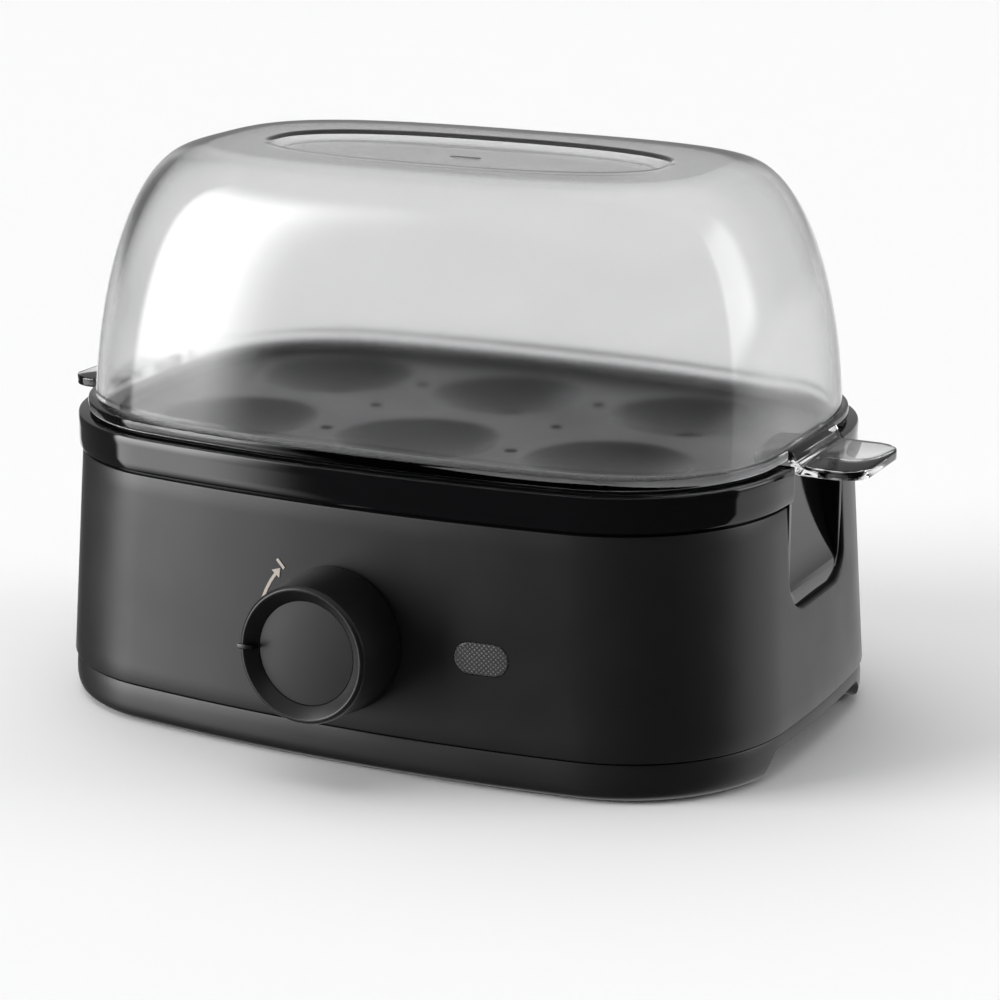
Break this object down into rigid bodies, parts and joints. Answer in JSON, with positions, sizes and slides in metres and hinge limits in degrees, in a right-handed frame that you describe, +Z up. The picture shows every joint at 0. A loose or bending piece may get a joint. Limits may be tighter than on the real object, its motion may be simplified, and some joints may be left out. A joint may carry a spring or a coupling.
{
  "type": "egg cooker",
  "caption": "Oblong electric egg cooker: matte black base with timer knob and lamp, gloss collar, dished egg tray and frosted dome lid with end grip tabs.",
  "frame": {"origin": "middle of the footprint box, on the surface it stands on", "axes": "+X along the length to the right seen from the controls, -Y towards the controls, +Z up"},
  "size_m": [0.261, 0.1838, 0.1632],
  "materials": {
    "matte_black": "fine matte moulding",
    "gloss_black": "high gloss moulding",
    "basin_black": "satin moulding",
    "gasket_rubber": "soft silicone",
    "stainless": "pressed and satin",
    "element_steel": "heat-tinted tube",
    "screw_steel": "zinc plated",
    "thermostat_can": "stamped can",
    "sleeve_white": "woven glass sleeve",
    "fuse_body": "plain can",
    "foot_rubber": "soft pad",
    "timer_plate": "passivated plate",
    "brass": "turned and cut",
    "phenolic": "moulded phenolic",
    "nylon_white": "plain moulding",
    "lens_grey": "fine diffusing texture",
    "neon_glass": "small lamp",
    "print_beige": "pad print",
    "lead_brown": "insulated wire",
    "lead_blue": "insulated wire",
    "lead_grey": "insulated wire",
    "knob_black": "gloss rim, satin side",
    "knob_disc_grey": "satin inlay",
    "tray_dark": "satin moulding",
    "lid_smoke": "frosted dome, clear polished flange"
  },
  "bodies": {
    "base": {"housing": "matte_black", "rim_collar": "gloss_black", "water_basin": "basin_black", "basin_gasket": "gasket_rubber", "heating_dish": "stainless", "heating_element": "element_steel", "element_pins": "screw_steel", "clamp_bar": "screw_steel", "clamp_nuts": "screw_steel", "thermostat": "thermostat_can", "thermostat_washer": "screw_steel", "thermal_fuse": "fuse_body", "fuse_sleeve": "sleeve_white", "base_plate": "matte_black", "feet": "foot_rubber", "base_screws": "screw_steel", "collar_screws": "screw_steel", "timer_front_plate": "timer_plate", "timer_back_plate": "timer_plate", "timer_pillars": "brass", "timer_screws": "screw_steel", "mainspring_drum": "brass", "switch_block": "phenolic", "switch_leaves": "brass", "lamp_lens": "lens_grey", "lamp_holder": "nylon_white", "neon_lamp": "neon_glass", "dial_marks": "print_beige", "cord_gland": "foot_rubber", "terminal_block": "nylon_white", "live_lead": "lead_brown", "neutral_lead": "lead_blue", "lamp_lead": "lead_grey"},
    "dial": {"knob": "knob_black", "knob_disc": "knob_disc_grey", "knob_pointer": "gloss_black", "timer_shaft": "screw_steel", "drive_gear": "brass", "switch_cam": "nylon_white"},
    "train": {"train_arbor": "screw_steel", "train_wheel": "brass"},
    "escape": {"escape_arbor": "screw_steel", "escape_wheel": "brass"},
    "tray": {"egg_tray": "tray_dark"},
    "cover": {"lid": "lid_smoke"}
  },
  "joints": [
    {"name": "knob_turn", "type": "hinge", "parent": "base", "child": "dial", "pos_m": [0, -0.07089, 0.0377], "axis": [0, 0.9989, -0.0476], "range_deg": [0, 300]},
    {"name": "train_spin", "type": "hinge", "parent": "base", "child": "train", "pos_m": [0.0065, -0.05644, 0.02574], "axis": [0, 0.9989, -0.0476], "range_deg": [-1000.5, 0]},
    {"name": "escape_spin", "type": "hinge", "parent": "base", "child": "escape", "pos_m": [-0.0045, -0.05644, 0.02574], "axis": [0, 0.9989, -0.0476], "range_deg": [0, 2667.2]},
    {"name": "tray_lift", "type": "slide", "parent": "base", "child": "tray", "axis": [0, 0, 1], "range_m": [0, 0.12]},
    {"name": "lid_lift", "type": "slide", "parent": "tray", "child": "cover", "axis": [0, 0, 1], "range_m": [0, 0.12]}
  ],
  "couplings": [
    {"joint": "train_spin", "follows": "knob_turn", "ratio": -3.3333},
    {"joint": "escape_spin", "follows": "knob_turn", "ratio": 8.8889}
  ]
}
